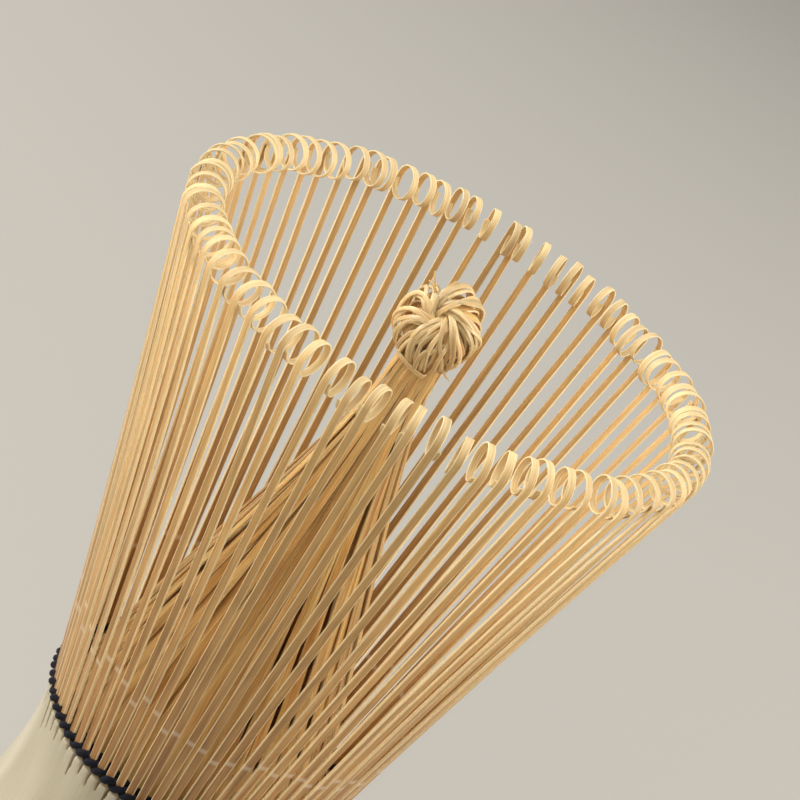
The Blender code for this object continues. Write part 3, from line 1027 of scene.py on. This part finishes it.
def skinRadius(z):
    # waisted under the thread, swelling towards the node, a little slimmer at the foot
    look = handleLook
    shoulder = look["nodeHeight"] + 4.5 * mm
    if z > look["waistHeight"]:
        share = (z - look["waistHeight"]) / (handleTop - look["waistHeight"])
        return look["waistRadius"] + (look["mouthRadius"] - look["waistRadius"]) * share ** 2
    if z > shoulder:
        share = (look["waistHeight"] - z) / (look["waistHeight"] - shoulder)
        return look["waistRadius"] + (look["nodeRadius"] - look["waistRadius"]) * share ** 2
    share = min(z / (look["nodeHeight"] - 2 * mm), 1)
    return look["footRadius"] + (look["nodeRadius"] - look["footRadius"]) * share


def nodeRelief(z):
    # the ring where a leaf sheath grew: a fine groove, a sharp scar and a swollen ridge above it
    away = (z - handleLook["nodeHeight"]) / mm
    ridge = handleLook["ridge"] * math.exp(-(away / 0.8) ** 2)
    scar = 0.20 * mm * math.exp(-((away + 2.3) / 0.4) ** 2)
    groove = 0.30 * mm * math.exp(-((away + 1.35) / 0.45) ** 2)
    hollow = 0.12 * mm * math.exp(-((away - 2.4) / 1.3) ** 2)
    return ridge + scar - groove - hollow


def handleProfile():
    # (radius, height) from the top of the diaphragm over the mouth, down the skin and up the foot's hollow
    look = handleLook
    node = look["nodeHeight"]
    mouth = look["mouthRadius"]
    bore = look["topBore"]
    profile = [(2 * mm, node + 1.2 * mm), (9 * mm, node + 1.3 * mm), (11.4 * mm, node + 1.7 * mm)]
    profile += [(bore, node + 3.2 * mm), (bore, handleTop - 6 * mm)]
    profile += [(bore + 0.2 * mm, handleTop - 0.6 * mm), (bore + 0.4 * mm, handleTop - 0.1 * mm)]
    profile += [(14.2 * mm, handleTop), (mouth - 0.4 * mm, handleTop)]
    profile += [(mouth - 0.12 * mm, handleTop - 0.08 * mm)]
    heights = [handleTop - 0.3 * mm - look["slitZone"] * (i / 18) ** 1.2 for i in range(19)]
    heights += [height * mm for height in (48, 46.5, 45, 43.5, 42, 40.5, 39.5, 38.5, 37.7, 37, 36.4, 36)]
    heights += [node + (1.8 - 0.3 * i) * mm for i in range(18)]
    heights += [height * mm for height in (30, 29, 27, 24, 20, 15, 10, 5, 2, 0.8)]
    profile += [(skinRadius(z) + nodeRelief(z), z) for z in heights]
    foot = look["footRadius"]
    hollow = look["footBore"]
    profile += [(foot - 0.10 * mm, 0.35 * mm), (foot - 0.32 * mm, 0.1 * mm), (foot - 0.6 * mm, 0.0)]
    profile += [(hollow + 0.5 * mm, 0.0), (hollow + 0.2 * mm, 0.12 * mm), (hollow, 0.4 * mm)]
    underside = node - look["floor"] / 2
    profile += [(hollow - 0.1 * mm, underside - 10 * mm), (hollow - 0.05 * mm, underside - 2.2 * mm)]
    profile += [(hollow - 1.1 * mm, underside - 0.5 * mm), (8.5 * mm, underside)]
    profile += [(2 * mm, underside + 0.1 * mm)]
    return profile


def makeHandle():
    look = handleLook
    profile = handleProfile()
    deselectAll()
    startRadius, startHeight = profile[0]
    bpy.ops.mesh.primitive_circle_add(
        vertices=look["columns"], radius=startRadius, location=(0, 0, startHeight))
    handle = bpy.context.object
    bpy.ops.object.transform_apply(location=True, rotation=False, scale=False)
    bpy.ops.object.mode_set(mode="EDIT")
    bpy.ops.mesh.select_mode(type="EDGE")
    bpy.ops.mesh.select_all(action="SELECT")
    for (radiusBefore, heightBefore), (radius, height) in zip(profile, profile[1:]):
        grow = radius / radiusBefore
        bpy.ops.mesh.extrude_edges_move(TRANSFORM_OT_translate={"value": (0, 0, height - heightBefore)})
        bpy.ops.transform.resize(value=(grow, grow, 1), center_override=(0, 0, height))
    bpy.ops.mesh.edge_face_add()
    bpy.ops.mesh.select_all(action="SELECT")
    bpy.ops.object.mode_set(mode="OBJECT")
    bm = bmesh.new()
    bm.from_mesh(handle.data)
    openEdges = [edge for edge in bm.edges if len(edge.link_faces) < 2]
    bmesh.ops.edgeloop_fill(bm, edges=openEdges)
    bmesh.ops.recalc_face_normals(bm, faces=bm.faces)
    bm.to_mesh(handle.data)
    bm.free()
    handle.name = "culmHandle"
    mesh = handle.data
    points = readPoints(mesh)
    radius = np.hypot(points[:, 0], points[:, 1])
    azimuth = np.arctan2(points[:, 1], points[:, 0])
    # splitting checks run down from between the tines into the skin, each to its own depth
    dice = random.Random(3)
    count = splits * tinesPerSplit
    depths = np.array([dice.choice(look["slitDepths"]) * dice.uniform(0.8, 1.15) for _ in range(count)]) * mm
    leans = np.array([dice.gauss(0, 0.03) for _ in range(count)])
    place = azimuth / tineAngle - 0.5
    nearest = np.round(place).astype(int)
    below = handleTop - points[:, 2]
    fromSlit = (place - nearest) * tineAngle * radius - leans[nearest % count] * below
    left = np.clip(1 - below / depths[nearest % count], 0, 1)
    outside = (radius > innerRootRadius + 0.8 * mm) & (below < look["slitZone"]) & (below >= -0.01 * mm)
    halfWidth = look["slitWidth"] + look["slitOpens"] * np.sqrt(left)
    groove = np.where(outside & (left > 0), np.clip(1.15 - np.abs(fromSlit) / halfWidth, 0, 1), 0)
    push = groove * look["slitPush"] * np.clip(left * 5, 0, 1)
    # between two slits the skin is rounded over like a finger tip
    finger = np.clip(1 - below / look["fingerHeight"], 0, 1) ** 1.5
    crown = (np.cos((place - nearest) * 2 * math.pi) * 0.5 + 0.5) ** 2
    rounded = np.where(outside, finger * crown * look["fingerRound"], 0)
    wobble = 0.05 * mm * np.sin(3 * azimuth + 1.0) + 0.04 * mm * np.sin(2 * azimuth)
    skinSide = radius > 14.5 * mm
    scale = (radius - push - rounded + np.where(skinSide, wobble, 0)) / np.maximum(radius, 1e-9)
    points[:, 0] *= scale
    points[:, 1] *= scale
    mesh.vertices.foreach_set("co", points.ravel().astype(np.float32))
    uv = mesh.uv_layers.new(name="grain")
    for loop in mesh.loops:
        x, y, z = mesh.vertices[loop.vertex_index].co
        turn = math.atan2(y, x)
        uv.data[loop.index].uv = (turn * 16.0 + 60, z / mm)
    skinHere = np.array([skinRadius(z) for z in points[:, 2]])
    flesh = (radius < skinHere - 0.9 * mm).astype(float)
    flesh[(points[:, 2] < 0.05 * mm)] = 1.0
    # the slits' mask also places the painted shade in the grooves
    for label, values in (("flesh", flesh), ("slit", np.clip(groove * 1.4, 0, 1))):
        attribute = mesh.attributes.new(label, "FLOAT", "POINT")
        attribute.data.foreach_set("value", values.astype(np.float32))
    mesh.update()
    mesh.shade_smooth()
    mesh.set_sharp_from_angle(angle=math.radians(48))
    mesh.materials.append(skinBamboo)
    deselectAll()
    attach(handle, "handle")
    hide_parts("handle")


makeHandle()
print("handle turned")


# thread: two strands of one cord, twined so that they cross between every two tines

threadLook = {
    "cord": 0.34 * mm,          # half the cord's thickness
    "swingOut": 0.27 * mm,      # out over one tine and in behind the next
    "swingUp": 0.32 * mm,       # one strand over the other where they cross
    "outerSag": 0.32 * mm,      # the band sits against the mouth of the handle
    "innerSag": 0.60 * mm,
    "innerSize": 0.7,           # drawn tighter between the two rows
    "innerGap": 0.3 * mm,
    "looseOut": 0.05 * mm,
    "looseUp": 0.10 * mm,
    "pointsPerTine": 8,
}


def makeThread(name, radius, size, sag, strandNames, seed):
    dice = random.Random(seed)
    look = threadLook
    count = splits * tinesPerSplit
    strands = []
    for strand in range(2):
        steps = count * look["pointsPerTine"]
        jitter = [dice.gauss(0, 1) for _ in range(count)]
        curve = bpy.data.curves.new(name, "CURVE")
        curve.dimensions = "3D"
        curve.bevel_depth = look["cord"] * size
        curve.bevel_resolution = 2
        spline = curve.splines.new("POLY")
        spline.points.add(steps - 1)
        for i in range(steps):
            turn = 2 * math.pi * i / steps
            wind = turn * count / 2 + strand * math.pi
            at = i / look["pointsPerTine"]
            low = jitter[int(at) % count]
            high = jitter[(int(at) + 1) % count]
            loose = low + (high - low) * (at - int(at))
            r = radius + look["swingOut"] * size * math.cos(wind) + look["looseOut"] * loose
            z = threadHeight - sag + look["swingUp"] * size * math.sin(wind) + look["looseUp"] * loose
            spline.points[i].co = (r * math.cos(turn), r * math.sin(turn), z, 1)
            spline.points[i].radius = 1 + 0.08 * loose + 0.10 * math.cos(2 * wind)
        spline.use_cyclic_u = True
        cord = bpy.data.objects.new(name, curve)
        bpy.context.collection.objects.link(cord)
        strands.append(cord)
    deselectAll()
    for cord in strands:
        cord.select_set(True)
    bpy.context.view_layer.objects.active = strands[0]
    bpy.ops.object.convert(target="MESH")
    bpy.ops.object.join()
    thread = bpy.context.object
    thread.name = name
    mesh = thread.data
    if mesh.uv_layers:
        mesh.uv_layers.remove(mesh.uv_layers[0])
    uv = mesh.uv_layers.new(name="grain")
    for loop in mesh.loops:
        x, y, z = mesh.vertices[loop.vertex_index].co
        around = math.atan2(z - threadHeight, math.hypot(x, y) - radius)
        uv.data[loop.index].uv = (math.atan2(y, x) * 16.0, around * 0.8)
    mesh.shade_smooth()
    mesh.materials.clear()
    mesh.materials.append(indigoThread)
    deselectAll()
    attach(thread, "handle")
    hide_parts(*strandNames)


makeThread("laceThread", outerRootRadius, 1.0, threadLook["outerSag"], ["thread_outer_strand"], 7)
makeThread("innerLaceThread", innerRootRadius + threadLook["innerGap"], threadLook["innerSize"],
           threadLook["innerSag"], ["thread_inner_strand"], 8)
print("thread laced")


# floor, backdrop and soft light

stageLook = {
    "floor": "#A9A6A0",
    "size": 8.0,
    "below": 0.02 * mm,
    "room": "#E8E6E1",
    "roomStrength": 0.22,
}


def makeStage():
    deselectAll()
    bpy.ops.mesh.primitive_plane_add(size=stageLook["size"], location=(0, 0, -stageLook["below"]))
    floor = bpy.context.object
    floor.name = "studioFloor"
    bpy.ops.object.transform_apply(location=True, rotation=False, scale=False)
    material, _, shader = newMaterial("palePaper")
    shader.inputs["Base Color"].default_value = hexColour(stageLook["floor"])
    shader.inputs["Roughness"].default_value = 0.9
    floor.data.materials.append(material)


def softLight(name, place, aim, size, power, colour):
    data = bpy.data.lights.new(name, "AREA")
    data.shape = "RECTANGLE"
    data.size, data.size_y = size
    data.energy = power
    data.color = hexColour(colour)[:3]
    light = bpy.data.objects.new(name, data)
    place = Vector(place)
    turned = (place - Vector(aim)).to_track_quat("Z", "Y").to_matrix().to_4x4()
    light.matrix_world = Matrix.Translation(place) @ turned
    bpy.context.collection.objects.link(light)


makeStage()
whiskMiddle = (0, 0, 0.09)
softLight("leftSoftbox", (-0.95, 0.10, 0.46), whiskMiddle, (0.60, 0.70), 13.0, "#FFFCF6")
softLight("rightSoftbox", (0.95, 0.12, 0.46), whiskMiddle, (0.50, 0.70), 11.5, "#FFFAF2")
softLight("topSoftbox", (-0.10, 0.10, 1.20), whiskMiddle, (0.60, 0.60), 5.0, "#FFFFFF")
softLight("frontSoftbox", (-0.25, -1.00, 0.70), whiskMiddle, (0.80, 0.60), 5.3, "#FFF8EE")
world = bpy.data.worlds.new("paleRoom")
world.use_nodes = True
background = world.node_tree.nodes["Background"]
background.inputs["Color"].default_value = hexColour(stageLook["room"])
background.inputs["Strength"].default_value = stageLook["roomStrength"]
bpy.context.scene.world = world
bpy.context.scene.view_settings.view_transform = "Standard"
print("stage and lights set")
